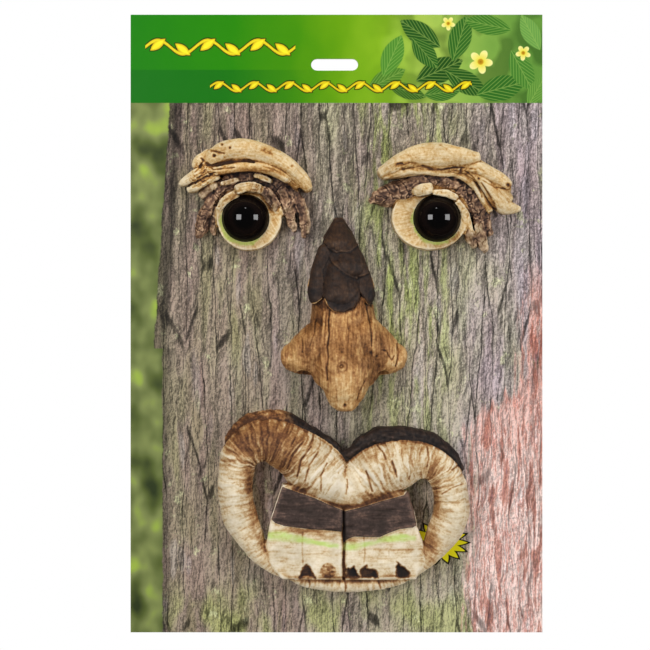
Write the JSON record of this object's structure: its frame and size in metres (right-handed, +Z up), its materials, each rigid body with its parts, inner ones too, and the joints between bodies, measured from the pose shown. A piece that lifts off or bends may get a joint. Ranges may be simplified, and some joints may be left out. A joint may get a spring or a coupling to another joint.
{
  "type": "tree face sculpture",
  "caption": "Folk tree face wall piece: cast bark-textured brows and eyes, a scaled nose and a heart-shaped toothy mouth on an upright printed card with a hang slot.",
  "frame": {"origin": "centre of the card's back face", "axes": "+Z up along the card's height, +X to the viewer's right, +Y from the face toward the wall"},
  "size_m": [0.28, 0.0376, 0.42],
  "materials": {
    "printed_card": "semi-gloss bark and foliage print on board",
    "eye_paint": "cream paint with a brown wash in the recesses, matte",
    "eyeball": "high gloss black",
    "nose_paint": "honey brown paint, dark bark cap, matte",
    "mouth_paint": "cream paint with a brown wash, dark bark bands and lime accents, matte"
  },
  "bodies": {
    "root": {"backing_card": "printed_card", "left_eye_casting": "eye_paint", "right_eye_casting": "eye_paint", "left_eyeball": "eyeball", "right_eyeball": "eyeball", "nose": "nose_paint", "mouth": "mouth_paint"}
  },
  "joints": []
}
